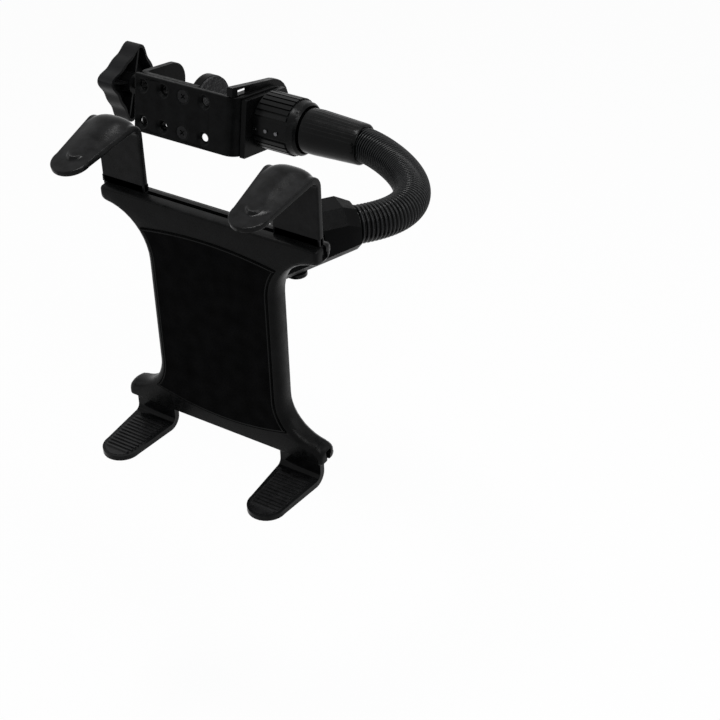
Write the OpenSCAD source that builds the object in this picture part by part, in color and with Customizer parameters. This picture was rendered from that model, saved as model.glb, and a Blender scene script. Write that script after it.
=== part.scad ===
// Tablet holder: a cradle with sliding claws on a corrugated flexible neck,
// held to a post by a screw clamp made of two angle brackets.
// Millimetres. The origin is the middle of the pad that the tablet leans on:
// X runs to the tablet's right, Y away from its back, Z up.

/* [Cradle] */
// Length of the top rail
rail_w = 150; // [140:1:170]
// Length of the bottom rail
low_rail_w = 144; // [136:1:164]
// Height of the cradle, from rail to rail
cradle_h = 147; // [140:1:170]
// Width of the waist between the rails
waist_w = 90; // [80:1:96]
// Depth of the cradle, front rim to back cover
cradle_d = 15; // [14.5:0.5:18]
// Height of the top rail at its ends
rail_h = 10.5; // [10:0.5:13]
// Height of the bottom rail at its ends
low_rail_h = 11.5; // [10.5:0.5:14]
// Radius of the sweep from the top rail into the waist
top_sweep_r = 30; // [24:1:34]
// Radius of the sweep from the waist into the bottom rail
low_sweep_r = 25; // [20:1:30]
// Thickness of the back cover
cover_t = 3.2; // [2.4:0.2:4]
// How far the rounded side walls bulge past the front rim
wall_bulge = 3.5; // [2:0.5:5]
// Thickness of the front pad
pad_t = 2; // [1.5:0.1:3]
// Width of the bare rim beside the pad
rim_w = 1; // [0.6:0.1:2]
// How far the pad stands proud of the rim
pad_proud = 0.6; // [0.2:0.1:1]

/* [Claws] */
// Width of an upper hook
hook_w = 30.5; // [26:0.5:34]
// Height of an upper hook above the rail
hook_h = 41; // [34:1:60]
// Reach of an upper hook's tongue, from the plate to the tip
hook_reach = 52; // [36:1:60]
// Droop of the hook's tongue in degrees
hook_droop = 12; // [6:1:16]
// Place of the left hook along the rail, from the middle
hook_left_x = 61.5; // [24:0.5:62]
// Place of the right hook along the rail, from the middle
hook_right_x = 58; // [24:0.5:62]
// Width of a lower foot
foot_w = 29; // [26:1:32]
// Drop of a lower foot below the rail
foot_h = 16; // [14:1:30]
// Reach of a foot's tongue
foot_reach = 49; // [36:1:56]
// Place of the left foot along the rail, from the middle
foot_left_x = 56.5; // [24:0.5:58]
// Place of the right foot along the rail, from the middle
foot_right_x = 52.5; // [24:0.5:58]
// Thickness of a claw
claw_t = 4; // [3.4:0.1:4.6]
// Thickness of a claw's neck in the rail
neck_t = 2.6; // [2.2:0.1:3]
// Height of the lips that hold a claw in its rail
lip_h = 4; // [3.5:0.5:4.5]
// Height of the bar at a claw's root
bar_h = 3.2; // [2.8:0.1:3.4]
// Clearance of a claw in its rail
rail_gap = 0.3; // [0.2:0.05:0.4]
// Number of ribs on a foot's grip
grip_ribs = 12; // [6:1:14]

/* [Knuckle] */
// Diameter of the turning plate behind the cradle
turn_plate_d = 46; // [40:1:60]
// Diameter of the spindle that the cradle turns on
spindle_d = 16; // [12:1:18]
// Height of the neck's axis above the cradle's middle
knuckle_z = 38; // [34:1:42]
// Sideways place of the pivot bolt
bolt_x = 20.5; // [10:0.5:24]
// Distance of the pivot bolt behind the pad
bolt_y = 57.5; // [52:0.5:66]
// Diameter of the pivot bolt
bolt_d = 8; // [6:0.5:9]
// Height of the knuckle's tongue
tongue_h = 14; // [10:1:16]
// Width of the tongue
tongue_w = 18; // [14:1:20]
// Width of the socket's housing
housing_w = 31; // [28:1:34]
// Height of the housing above the neck's axis
housing_top = 17.8; // [16:0.2:19]
// Depth of the housing below the neck's axis, at the knuckle
housing_low = 22; // [20:0.5:26]

/* [Arm] */
// Heading of the socket, in degrees to the right of straight back
socket_heading = 35.5; // [20:0.5:45]
// Distance from the pivot bolt to the socket's rim
socket_l = 37; // [35:1:50]
// Width across the flats of the socket's rim
socket_w = 27; // [26:0.5:32]
// Outer diameter of the flexible neck
neck_od = 23.6; // [18:0.2:24]
// Inner diameter of the flexible neck's cover
neck_id = 16; // [12:0.5:17]
// Depth of one groove of the neck
groove_depth = 1.4; // [0.6:0.1:1.6]
// Spacing of the neck's rings
ring_pitch = 2.6; // [2.2:0.1:5]
// How deep the neck sits in its socket and in its sleeve
neck_seat = 16; // [10:1:20]
// Outer diameter of the smooth sleeve at the collar
sleeve_d = 31; // [29:0.5:33]
// Outer diameter of the smooth sleeve at its mouth
sleeve_mouth_d = 28; // [27:0.5:32]

/* [Clamp] */
// Width over the two brackets
clamp_w = 87; // [85:1:100]
// Height of the brackets
clamp_h = 41.5; // [38:0.5:46]
// Depth of the outer bracket's flange
outer_depth = 62; // [56:1:70]
// Depth of the inner bracket's flange
inner_depth = 52; // [50:1:60]
// Height of the arm's axis above the brackets' middle
axis_rise = 1.2; // [0:0.2:3]
// Distance from the arm's axis to the front of the web
web_front = 31.5; // [29:0.5:34]
// Thickness of the bracket metal
metal_t = 4; // [3:0.5:4.5]
// Lean of the clamp in degrees
clamp_lean = 10; // [0:1:20]
// Spacing of the hole columns
column_pitch = 17.7; // [16.5:0.1:18]
// Spacing of the two hole rows
row_pitch = 25.6; // [22:0.2:28]
// Diameter of the holes for the bracket screws
hole_d = 5.4; // [4.5:0.1:6]
// Diameter of a countersunk head
head_d = 10.4; // [9:0.1:11]
// Diameter of the round pressure pad
pad_d = 40; // [30:1:41]
// Opening between the pressure pad and the fixed jaw
mouth = 32; // [24:1:36]
// Diameter of the clamp screw
screw_d = 8; // [6:0.5:10]
// Diameter over the ears of the knob
knob_d = 56; // [50:1:60]
// Number of ears on the knob
knob_ears = 4; // [3:1:6]
// Thickness of the knob
knob_t = 13; // [11:1:16]
// Gap between the knob and the bracket
knob_gap = 24; // [20:1:30]
// Diameter of the ribbed collar
collar_d = 40; // [38:0.5:44]
// Length of the ribbed collar
collar_l = 34; // [30:1:40]
// Number of grip ribs in each of the collar's two groups
collar_ribs = 11; // [6:1:12]

/* [Hidden] */
$fn = 48;
eps = 0.01;
// Clearance of a shaft in its hole, on the radius
run_gap = 0.06;
// Clearance between faces that slide past each other
slide_gap = 0.3;

// Cradle: depths and heights that follow from the sizes above
rim_y = pad_proud;
back_y = rim_y + cradle_d;
split_y = back_y - cover_t;
half_h = cradle_h / 2;
claw_y = rim_y + 8;
bar_t = claw_t + 0.6;
corner_r = 1.5;
rail_end_r = 3;
low_end_r = 5;
pad_top = half_h - 15;
pad_bottom = -half_h + 9.5;
cover_screw_x = waist_w / 2 - 10;
cover_screw_z = half_h - 26;

// Knuckle and arm
turn_y = back_y + 1.6 + slide_gap;
turn_t = 6;
washer_t = 1.6;
head_inner_h = 2.6;
pivot_screw_d = 5;
heading = [sin(socket_heading), cos(socket_heading), 0];
bolt_at = [bolt_x, bolt_y, knuckle_z];
rim_at = bolt_at + heading * socket_l;
arm_y = 195;
arm_z = 28;
sleeve_mouth_x = -18;
sleeve_at = [sleeve_mouth_x, arm_y, arm_z];
// How strongly the neck keeps its direction at the socket and at the sleeve
pull_socket = 73;
pull_sleeve = 20;
// Directions in which it leaves them
socket_leave = heading + [0, 0, -0.08];
sleeve_leave = [0.99, -0.14, 0];
neck_r = neck_od / 2;
core_r = neck_id / 2 - slide_gap;

// Clamp: measured from the outer face of the collar's flange
clamp_x = -100;
base_t = 4;
boss_l = 10;
jaw_t = 4.5;
jaw_r = 23;
jaw_back = 14;
jaw_low = 20;
jaw_top = 26.4;
jaw_slot_l = 14;
jaw_slot_h = 3.6;
facing_t = 2;
plate_t = 6;
first_column = 27.5;
jaw_face_x = -metal_t - jaw_t - facing_t;
pad_face_x = jaw_face_x - mouth;
plate_back_x = pad_face_x - facing_t - plate_t;
knob_front_x = -clamp_w - knob_gap;
inner_plate_end = first_column + column_pitch - 9;
outer_r = 20;
bend_r = 9;
web_low = -clamp_h / 2 - axis_rise;
web_top = clamp_h / 2 - axis_rise;
base_front = 26;
base_low = 22.3;
// Ears of the knob: their turn, height and slope
ear_turn = 11;
ear_h = 7.5;
ear_power = 3;
knob_steps = 80;
knob_wall = 2.2;
bush_d = screw_d + 6;
bush_rim = 2.5;
inner_r = 14;
boss_r = collar_d / 2 - 3;
hub_r = 10;
hub_l = 8;
stub_r = 6;
stub_l = 4;
hub_washer_r = 7.5;
collar_rib_w = 3;
rib_spread = 62;
panel_r = collar_d / 2 - 1.9;
panel_w = 12;
stud_d = 2.6;
stud_h = 1.7;
stud_turn = 96;
first_stud = 2.4;
stud_pitch = 8.5;
sleeve_root_x = clamp_x + base_t + boss_l + slide_gap;
// The sleeve is narrower inside the collar, up to a shoulder at the collar's end
sleeve_step = 2.5;
shoulder_gap = 0.8;
shoulder_x = clamp_x + base_t + collar_l + shoulder_gap;
collar_bore_r = sleeve_d / 2 + 1;

// Points on an arc
function arc(c, r, a0, a1, n) =
    [for (i = [0:n]) let (a = a0 + (a1 - a0) * i / n) [c[0] + r * cos(a), c[1] + r * sin(a)]];

// A list turned round
function turned(list) = [for (i = [len(list) - 1:-1:0]) list[i]];

// An outline in X and its other coordinate, completed by its mirror image
function both_sides(half) = concat(half, [for (p = turned(half)) [-p[0], p[1]]]);

// Unit vector
function unit(v) = v / norm(v);

// Solid skinned over rings of points that all have the same even count; each end is
// closed by strips between opposite points of its ring
module skin(rings) {
    n = len(rings[0]);
    m = len(rings);
    sides = [for (i = [0:m - 2], j = [0:n - 1])
        let (a = i * n + j, b = i * n + (j + 1) % n, c = b + n, d = a + n)
        each [[a, c, b], [a, d, c]]];
    first = [for (j = [0:n / 2 - 2]) [j, j + 1, n - 2 - j, n - 1 - j]];
    last = [for (f = first) [for (k = turned(f)) (m - 1) * n + k]];
    polyhedron(points = [for (r = rings) each r], faces = concat(sides, first, last));
}

// Hollow skin between outer rings and inner rings that share their ends
module tube_skin(outer, inner) {
    n = len(outer[0]);
    mo = len(outer);
    mi = len(inner);
    base = mo * n;
    outside = [for (i = [0:mo - 2], j = [0:n - 1])
        let (a = i * n + j, b = i * n + (j + 1) % n, c = b + n, d = a + n)
        each [[a, c, b], [a, d, c]]];
    inside = [for (i = [0:mi - 2], j = [0:n - 1])
        let (a = base + i * n + j, b = base + i * n + (j + 1) % n, c = b + n, d = a + n)
        each [[a, b, c], [a, c, d]]];
    starts = [for (j = [0:n - 1])
        let (a = j, b = (j + 1) % n, c = base + b, d = base + a)
        each [[a, b, c], [a, c, d]]];
    ends = [for (j = [0:n - 1])
        let (a = (mo - 1) * n + j, b = (mo - 1) * n + (j + 1) % n,
             c = base + (mi - 1) * n + (j + 1) % n, d = base + (mi - 1) * n + j)
        each [[a, c, b], [a, d, c]]];
    polyhedron(points = concat([for (r = outer) each r], [for (r = inner) each r]),
        faces = concat(outside, inside, starts, ends));
}

// Right half of the cradle's outline, drawn in by edge_in at the rails and by wall_in at the waist
function half_outline(edge_in, wall_in) =
    let (
        x1 = rail_w / 2 - edge_in,
        x2 = low_rail_w / 2 - edge_in,
        z1 = half_h - edge_in,
        top_r = top_sweep_r + wall_in,
        low_r = low_sweep_r + wall_in,
        sweep_x = waist_w / 2 + top_sweep_r,
        sweep_z = half_h - rail_h - top_sweep_r,
        low_x = waist_w / 2 + low_sweep_r,
        low_z = -half_h + low_rail_h + low_sweep_r,
        top_in = asin((sweep_x - x1 + rail_end_r) / top_r),
        low_in = asin((low_x - x2 + low_end_r) / low_r)
    )
    concat(
        arc([x1 - corner_r, z1 - corner_r], corner_r, 90, 0, 3),
        arc([x1 - rail_end_r, half_h - rail_h + wall_in + rail_end_r], rail_end_r, 0, -75, 4),
        arc([sweep_x, sweep_z], top_r, 90 + top_in, 180, 10),
        arc([low_x, low_z], low_r, 180, 270 - low_in, 10),
        arc([x2 - low_end_r, -half_h + low_rail_h - wall_in - low_end_r], low_end_r, 90, 0, 4),
        arc([x2 - corner_r, -z1 + corner_r], corner_r, 0, -90, 3)
    );

function outline(edge_in, wall_in) = both_sides(half_outline(edge_in, wall_in));

// One level of the cradle's shell at depth y
function level(y, edge_in, wall_in) = [for (p = outline(edge_in, wall_in)) [p[0], y, p[1]]];

// Outline of the front pad, arched at its top and bottom
function pad_outline(gap) =
    let (
        sweep = [waist_w / 2 + top_sweep_r, half_h - rail_h - top_sweep_r],
        low = [waist_w / 2 + low_sweep_r, -half_h + low_rail_h + low_sweep_r],
        top_r = top_sweep_r + wall_bulge + rim_w + gap,
        low_r = low_sweep_r + wall_bulge + rim_w + gap,
        top_end = sweep + top_r * [cos(143), sin(143)],
        low_end = low + low_r * [cos(223), sin(223)]
    )
    both_sides(concat(
        [for (i = [0:6]) [top_end[0] * i / 6, pad_top - gap - (pad_top - gap - top_end[1]) * pow(i / 6, 2)]],
        arc(sweep, top_r, 143, 180, 8),
        arc(low, low_r, 180, 223, 8),
        [for (i = [6:-1:0]) [low_end[0] * i / 6, pad_bottom + gap + (low_end[1] - pad_bottom - gap) * pow(i / 6, 2)]]
    ));

// Cut of a rail: a narrow mouth over a wider channel, right through from end to end
module rail_cut(gap = rail_gap) {
    translate([-rail_w, claw_y - neck_t / 2 - gap, half_h - lip_h - eps])
        cube([2 * rail_w, neck_t + 2 * gap, lip_h + 5]);
    translate([-rail_w, claw_y - bar_t / 2 - gap, half_h - lip_h - bar_h - 2 * gap])
        cube([2 * rail_w, bar_t + 2 * gap, bar_h + 2 * gap]);
}

module cover_screw_places() {
    for (sx = [-1, 1], sz = [-1, 1])
        translate([sx * cover_screw_x, back_y, sz * cover_screw_z]) rotate([90, 0, 0]) children();
}

// Moulded front of the cradle, with both rails and the pad's recess
module front_frame() {
    color([0.05, 0.05, 0.055])
    difference() {
        skin([
            level(rim_y, 1.4, wall_bulge),
            level(rim_y + 0.8, 0.5, wall_bulge * 0.55),
            level(rim_y + 2, 0.1, wall_bulge * 0.25),
            level(rim_y + 4, 0, wall_bulge * 0.06),
            level(rim_y + 6.5, 0, 0),
            level(rim_y + 9, 0, wall_bulge * 0.05),
            level(split_y, 0.1, wall_bulge * 0.2)
        ]);
        rail_cut();
        mirror([0, 0, 1]) rail_cut();
        translate([0, rim_y + pad_t - pad_proud, 0]) rotate([90, 0, 0])
            linear_extrude(pad_t + 1) polygon(pad_outline(0));
        translate([0, split_y + eps, 0]) rotate([90, 0, 0]) cylinder(r = spindle_d / 2 + 6, h = 7);
        cover_screw_places() cylinder(d = 2.6, h = cover_t + 6);
    }
}

// Back cover of the cradle, with the boss that the spindle turns in
module rear_cover() {
    color([0.05, 0.05, 0.055])
    difference() {
        union() {
            skin([
                level(split_y, 0.1, wall_bulge * 0.2),
                level(split_y + cover_t * 0.45, 0.4, wall_bulge * 0.45),
                level(back_y - 0.5, 0.9, wall_bulge * 0.8),
                level(back_y, 1.6, wall_bulge)
            ]);
            translate([0, back_y + 1.6, 0]) rotate([90, 0, 0]) cylinder(d = turn_plate_d + 6, h = 1.6 + cover_t / 2);
        }
        rail_cut();
        mirror([0, 0, 1]) rail_cut();
        translate([0, back_y + 5, 0]) rotate([90, 0, 0]) cylinder(d = spindle_d + 2 * run_gap, h = 20);
        cover_screw_places() {
            cylinder(d = 3.2, h = 20);
            translate([0, 0, -eps]) cylinder(d = 6.4, h = 1.9);
        }
    }
}

// Soft pad that the tablet leans on
module front_pad() {
    color([0.09, 0.09, 0.09])
    translate([0, rim_y + pad_t - pad_proud, 0]) rotate([90, 0, 0])
        linear_extrude(pad_t) polygon(pad_outline(0.15));
}

module cover_screws() {
    color([0.2, 0.2, 0.21])
    cover_screw_places() difference() {
        union() {
            cylinder(d = 6, h = 1.8);
            cylinder(d = 2.6, h = cover_t + 5);
        }
        translate([0, 0, -eps]) cylinder(d = 3, h = 1, $fn = 6);
    }
}

// Washer and screw that keep the spindle in the back cover
module pivot_washer() {
    color([0.55, 0.55, 0.56])
    translate([0, split_y - slide_gap, 0]) rotate([90, 0, 0]) difference() {
        cylinder(r = spindle_d / 2 + 4, h = washer_t);
        translate([0, 0, -1]) cylinder(d = pivot_screw_d + 0.4, h = washer_t + 2);
    }
}

module pivot_screw() {
    color([0.55, 0.55, 0.56])
    translate([0, split_y - slide_gap - washer_t, 0]) rotate([90, 0, 0]) {
        difference() {
            cylinder(d = 9, h = head_inner_h);
            translate([0, 0, 1]) cylinder(d = 4, h = head_inner_h, $fn = 6);
        }
        translate([0, 0, -8]) cylinder(d = pivot_screw_d, h = 8 + eps);
    }
}

// Middle line of a claw's side view: up the plate, round the bend, out along the tongue
function claw_path(height, reach, droop, bend_r) =
    let (
        turn = 90 + droop,
        tongue_l = reach - bend_r,
        bend_end = [-bend_r + bend_r * cos(turn), height - bend_r + bend_r * sin(turn)],
        ahead = [-sin(turn), cos(turn)]
    )
    concat(
        [[0, rail_gap], [0, (height - bend_r) * 0.5]],
        arc([-bend_r, height - bend_r], bend_r, 0, turn, 6),
        [for (i = [1:5]) bend_end + ahead * tongue_l * i / 5]
    );

// Band of a given thickness along a path, tapering over the tongue
function band(path, t0, t1) =
    let (
        n = len(path),
        dirs = [for (i = [0:n - 1])
            unit(path[min(i + 1, n - 1)] - path[max(i - 1, 0)])],
        half = [for (i = [0:n - 1]) (i < 9 ? t0 : t0 + (t1 - t0) * (i - 8) / (n - 9)) / 2]
    )
    concat(
        [for (i = [0:n - 1]) path[i] + half[i] * [-dirs[i][1], dirs[i][0]]],
        [for (i = [n - 1:-1:0]) path[i] - half[i] * [-dirs[i][1], dirs[i][0]]]
    );

// Plan of a claw: full width at the plate, tapering to a round tip
function claw_plan(width, reach, tip_r) =
    let (tip_y = -reach + tip_r, side = asin((width / 2 - tip_r) / (reach - tip_r - 6)))
    concat(
        [[width / 2, 12], [width / 2, -6]],
        arc([0, tip_y], tip_r, side, side - 180 - 2 * side, 16),
        [[-width / 2, -6], [-width / 2, 12]]
    );

// Claw in its own frame: origin in the rail's middle plane at the rail's face, plate upwards
module claw(width, height, reach, droop, tip_r) {
    intersection() {
        rotate([90, 0, 90]) translate([0, 0, -width])
            linear_extrude(2 * width) polygon(band(claw_path(height, reach, droop, 6), claw_t, claw_t - 0.8));
        translate([0, 0, -1]) linear_extrude(height + 20) polygon(claw_plan(width, reach, tip_r));
    }
    translate([-width / 2, -claw_t / 2, rail_gap]) cube([width, claw_t, 4]);
    translate([-width / 2, -neck_t / 2, -lip_h - rail_gap - eps]) cube([width, neck_t, lip_h + 2 * rail_gap + 2 * eps]);
    translate([-width / 2, -bar_t / 2, -lip_h - bar_h - rail_gap]) cube([width, bar_t, bar_h]);
}

// Crowned pillow that runs over a claw's bend, from its foot on the plate's back to a scoop on the tongue
module claw_pillow(width, height, reach, droop) {
    path = claw_path(height, reach, droop, 6);
    stations = 15;
    across = 11;
    // The pillow starts and stops at these path points and is round at both ends
    from = 1.25;
    to = 12.1;
    face = claw_t / 2;
    sunk = 1.2;
    rings = [for (k = [0:stations])
        let (
            u = 0.5 - 0.5 * cos(180 * k / stations),
            s = from + u * (to - from),
            i = floor(s),
            at = path[i] + (path[i + 1] - path[i]) * (s - i),
            dir = unit(path[min(i + 2, 13)] - path[max(i - 1, 0)]),
            out = [dir[1], -dir[0]],
            near_end = min(1, min(u, 1 - u) / 0.16),
            roundness = sqrt(max(0.02, 1 - pow(1 - near_end, 2))),
            rise = (1.3 + 1.5 * pow(sin(180 * u), 2)) * roundness,
            span = (width * 0.37 - 2.5 * u) * roundness
        )
        concat(
            [for (j = [0:across])
                let (v = 1 - 2 * j / across, lift = face - 0.25 + rise * pow(1 - v * v, 0.75))
                [v * span, at[0] + out[0] * lift, at[1] + out[1] * lift]],
            [[-span, at[0] + out[0] * (face - sunk), at[1] + out[1] * (face - sunk)],
             [span, at[0] + out[0] * (face - sunk), at[1] + out[1] * (face - sunk)]]
        )];
    skin(rings);
}

module hook() {
    claw(hook_w, hook_h, hook_reach, hook_droop, 11.5);
    claw_pillow(hook_w, hook_h, hook_reach, hook_droop);
}

module hook_left() {
    color([0.05, 0.05, 0.055])
    translate([-hook_left_x, claw_y, half_h]) hook();
}

module hook_right() {
    color([0.05, 0.05, 0.055])
    translate([hook_right_x, claw_y, half_h]) hook();
}

// Outline of the grip's recess on a foot
function grip_plan(gap) =
    let (tip_r = 10.4 - gap, w = foot_w / 2 - 2.6 - gap, tip_y = -foot_reach + 12,
         side = asin((w - tip_r) / (foot_reach - 20)))
    concat([[w, -8 - gap]], arc([0, tip_y], tip_r, side, -180 - side, 14), [[-w, -8 - gap]]);

module foot() {
    difference() {
        mirror([0, 0, 1]) claw(foot_w, foot_h, foot_reach, 0, 12);
        translate([0, 0, -foot_h + claw_t / 2 - 0.9]) linear_extrude(4) polygon(grip_plan(0));
    }
}

module foot_grip() {
    base_z = -foot_h + claw_t / 2 - 0.9;
    sheet_t = 0.7;
    translate([0, 0, base_z]) linear_extrude(sheet_t) polygon(grip_plan(0.1));
    intersection() {
        translate([0, 0, base_z]) linear_extrude(3) polygon(grip_plan(0.7));
        for (i = [0:grip_ribs - 1])
            translate([-foot_w / 2, -10.5 - i * (foot_reach - 15) / grip_ribs, base_z + sheet_t - eps])
                rotate([90, 0, 90]) linear_extrude(foot_w) polygon([[-0.9, 0], [-0.5, 0.9], [0.5, 0.9], [0.9, 0]]);
    }
}

module foot_left() {
    color([0.05, 0.05, 0.055])
    translate([-foot_left_x, claw_y, -half_h]) foot();
}

module foot_right() {
    color([0.05, 0.05, 0.055])
    translate([foot_right_x, claw_y, -half_h]) foot();
}

module foot_grip_left() {
    color([0.12, 0.12, 0.12])
    translate([-foot_left_x, claw_y, -half_h]) foot_grip();
}

module foot_grip_right() {
    color([0.12, 0.12, 0.12])
    translate([foot_right_x, claw_y, -half_h]) foot_grip();
}

// Bracket behind the cradle: turning plate, spindle, rising arm and the knuckle's tongue
module rear_bracket() {
    color([0.06, 0.06, 0.065])
    difference() {
        union() {
            translate([0, turn_y + turn_t, 0]) rotate([90, 0, 0]) cylinder(d = turn_plate_d, h = turn_t);
            translate([0, turn_y + eps, 0]) rotate([90, 0, 0]) cylinder(d = spindle_d, h = turn_y - split_y + slide_gap);
            hull() {
                translate([0, turn_y + turn_t + 3, 0]) rotate([90, 0, 0]) cylinder(r = 14, h = turn_t + 3, $fn = 32);
                translate([0, turn_y + turn_t + 3, knuckle_z]) rotate([90, 0, 0]) cylinder(r = 11, h = turn_t + 3, $fn = 32);
            }
            hull() {
                translate([0, turn_y + turn_t / 2, knuckle_z - tongue_h / 2]) cylinder(d = tongue_w, h = tongue_h, $fn = 32);
                translate([bolt_x, bolt_y, knuckle_z - tongue_h / 2]) cylinder(d = tongue_w, h = tongue_h, $fn = 32);
            }
        }
        translate([bolt_x, bolt_y, 0]) cylinder(d = bolt_d + 2 * run_gap, h = 200);
        translate([-40, -30 + turn_y, -80]) cube([80, 30, 68]);
        translate([-40, -30 + turn_y, 12]) cube([80, 30, 68]);
        translate([0, turn_y + 1, 0]) rotate([90, 0, 0]) cylinder(d = pivot_screw_d + 2 * run_gap, h = 30);
    }
}

// Eight-cornered section of the socket's housing
module housing_section(w, top, low, cut) {
    linear_extrude(0.5) polygon([
        [-w / 2 + cut, top], [w / 2 - cut, top], [w / 2, top - cut], [w / 2, -low + cut],
        [w / 2 - cut, -low], [-w / 2 + cut, -low], [-w / 2, -low + cut], [-w / 2, top - cut]
    ]);
}

// Socket: an eight-sided housing that deepens towards the knuckle and forks round its tongue
module socket() {
    neck_low = housing_low - 8;
    color([0.06, 0.06, 0.065])
    translate(bolt_at) rotate([0, 0, -socket_heading]) difference() {
        rotate([90, 0, 0]) hull() {
            translate([0, 0, 11]) housing_section(housing_w, housing_top, housing_low, 8);
            translate([0, 0, -socket_l + 9]) housing_section(housing_w, housing_top, neck_low, 8);
            translate([0, 0, -socket_l]) housing_section(socket_w, socket_w / 2, socket_w / 2, 8);
        }
        translate([-30, -30, -tongue_h / 2 - slide_gap]) cube([60, 30 + tongue_w / 2 + 4, tongue_h + 2 * slide_gap]);
        translate([0, socket_l - neck_seat, 0]) rotate([-90, 0, 0]) cylinder(d = neck_od + 2 * slide_gap, h = 40);
        translate([0, 0, -60]) cylinder(d = bolt_d + 2 * run_gap, h = 120);
    }
}

// Bolt that the knuckle pans about, with its head under the socket
module pivot_bolt() {
    head_h = 2.5;
    color([0.1, 0.1, 0.1])
    translate(bolt_at) {
        translate([0, 0, -housing_low - head_h]) difference() {
            cylinder(d = bolt_d + 5, h = head_h);
            translate([0, 0, -eps]) cylinder(d = 5, h = 1.6, $fn = 6);
        }
        translate([0, 0, -housing_low - eps]) cylinder(d = bolt_d, h = housing_low + housing_top + 5);
    }
}

module pivot_nut() {
    color([0.1, 0.1, 0.1])
    translate(bolt_at + [0, 0, housing_top]) difference() {
        cylinder(d = bolt_d + 5, h = 4, $fn = 6);
        translate([0, 0, -1]) cylinder(d = bolt_d + 2 * run_gap, h = 6);
    }
}

// Neck's route: a cubic curve from the socket's rim into the sleeve's mouth
route_a = rim_at - heading * neck_seat;
route_d = sleeve_at + [-neck_seat, 0, 0];
function bend_point(t) =
    let (
        b = rim_at + socket_leave * pull_socket,
        c = sleeve_at + sleeve_leave * pull_sleeve,
        k = 1 - t
    )
    k * k * k * rim_at + 3 * k * k * t * b + 3 * k * t * t * c + t * t * t * sleeve_at;

bend_steps = 60;
bend_samples = [for (i = [0:bend_steps]) bend_point(i / bend_steps)];
function run_length(i) = i == 0 ? 0 : run_length(i - 1) + norm(bend_samples[i] - bend_samples[i - 1]);
bend_table = [for (i = [0:bend_steps]) [run_length(i), i / bend_steps]];
bend_l = run_length(bend_steps);
neck_l = bend_l + 2 * neck_seat;

// Point on the neck's middle line at a distance from its seat in the socket
function neck_at(s) =
    s <= neck_seat ? route_a + heading * s :
    s >= neck_seat + bend_l ? sleeve_at + [-(s - neck_seat - bend_l), 0, 0] :
    bend_point(lookup(s - neck_seat, bend_table));

// The direction is taken over a short stretch, which eases the neck into its seats
function neck_dir(s) = unit(neck_at(min(s + 3, neck_l)) - neck_at(max(s - 3, 0)));

// Ring of points square to the neck
function neck_ring(s, r, n) =
    let (
        c = neck_at(s),
        d = neck_dir(s),
        u = unit(cross([0, 0, 1], d)),
        v = cross(d, u)
    )
    [for (j = [0:n - 1]) let (a = 360 * j / n) c + r * (cos(a) * u + sin(a) * v)];

// Corrugated cover of the flexible neck
module neck_cover() {
    rings = round((bend_l + 4) / ring_pitch);
    pitch = (bend_l + 4) / rings;
    start = neck_seat - 2;
    sides = 16;
    // Place along one ring and radius there: groove, shoulder, crest, shoulder
    shape = [[0, -groove_depth], [0.22, -0.15 * groove_depth], [0.56, 0], [0.88, -0.15 * groove_depth]];
    outer = concat(
        [neck_ring(0, neck_r - groove_depth, sides)],
        [for (k = [0:rings - 1], p = shape) neck_ring(start + (k + p[0]) * pitch, neck_r + p[1], sides)],
        [neck_ring(start + rings * pitch, neck_r - groove_depth, sides)],
        [neck_ring(neck_l, neck_r - groove_depth, sides)]
    );
    inner_steps = 26;
    inner = [for (k = [0:inner_steps]) neck_ring(neck_l * k / inner_steps, neck_id / 2, sides)];
    color([0.07, 0.07, 0.07]) tube_skin(outer, inner);
}

// Bendable core inside the cover, seated at both ends
module neck_core() {
    steps = 26;
    color([0.45, 0.45, 0.46])
    skin([for (k = [0:steps]) neck_ring(neck_l * k / steps, core_r, 12)]);
}

// Smooth sleeve that turns on the hub inside the collar
module arm_sleeve() {
    color([0.05, 0.05, 0.055])
    translate([0, arm_y, arm_z]) difference() {
        rotate([0, 90, 0]) rotate_extrude() polygon([
            [0, sleeve_root_x],
            [sleeve_d / 2 - sleeve_step, sleeve_root_x],
            [sleeve_d / 2 - sleeve_step, shoulder_x],
            [sleeve_d / 2 - 0.6, shoulder_x],
            [sleeve_d / 2, shoulder_x + 0.6],
            [sleeve_d / 2, shoulder_x + 8],
            [sleeve_mouth_d / 2, sleeve_mouth_x - 0.8],
            [sleeve_mouth_d / 2 - 0.7, sleeve_mouth_x],
            [0, sleeve_mouth_x]
        ]);
        translate([sleeve_mouth_x - neck_seat, 0, 0]) rotate([0, 90, 0])
            cylinder(d = neck_od + 2 * slide_gap, h = 40);
        translate([sleeve_root_x - 1, 0, 0]) rotate([0, 90, 0]) cylinder(r = hub_r + run_gap, h = hub_l + 1);
        translate([sleeve_root_x, 0, 0]) rotate([0, 90, 0]) cylinder(r = stub_r + run_gap, h = hub_l + 6);
        translate([sleeve_root_x + hub_l + stub_l - slide_gap * 2, 0, 0]) rotate([0, 90, 0])
            cylinder(r = hub_washer_r + 1, h = sleeve_mouth_x - neck_seat - 2 - sleeve_root_x - hub_l - stub_l);
    }
}

// Screw and washer that hold the sleeve on its hub
module hub_screw() {
    color([0.5, 0.5, 0.5])
    translate([clamp_x + base_t + boss_l + hub_l + stub_l, arm_y, arm_z]) rotate([0, 90, 0]) {
        cylinder(r = hub_washer_r, h = 1.2);
        translate([0, 0, 1.2 - eps]) cylinder(d = 8, h = 4);
        translate([0, 0, -14]) cylinder(d = 4, h = 14 + eps);
    }
}

// Placement of everything on the clamp: it leans about the arm's axis
module on_clamp() {
    translate([clamp_x, arm_y, arm_z]) rotate([-clamp_lean, 0, 0]) children();
}

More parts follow.
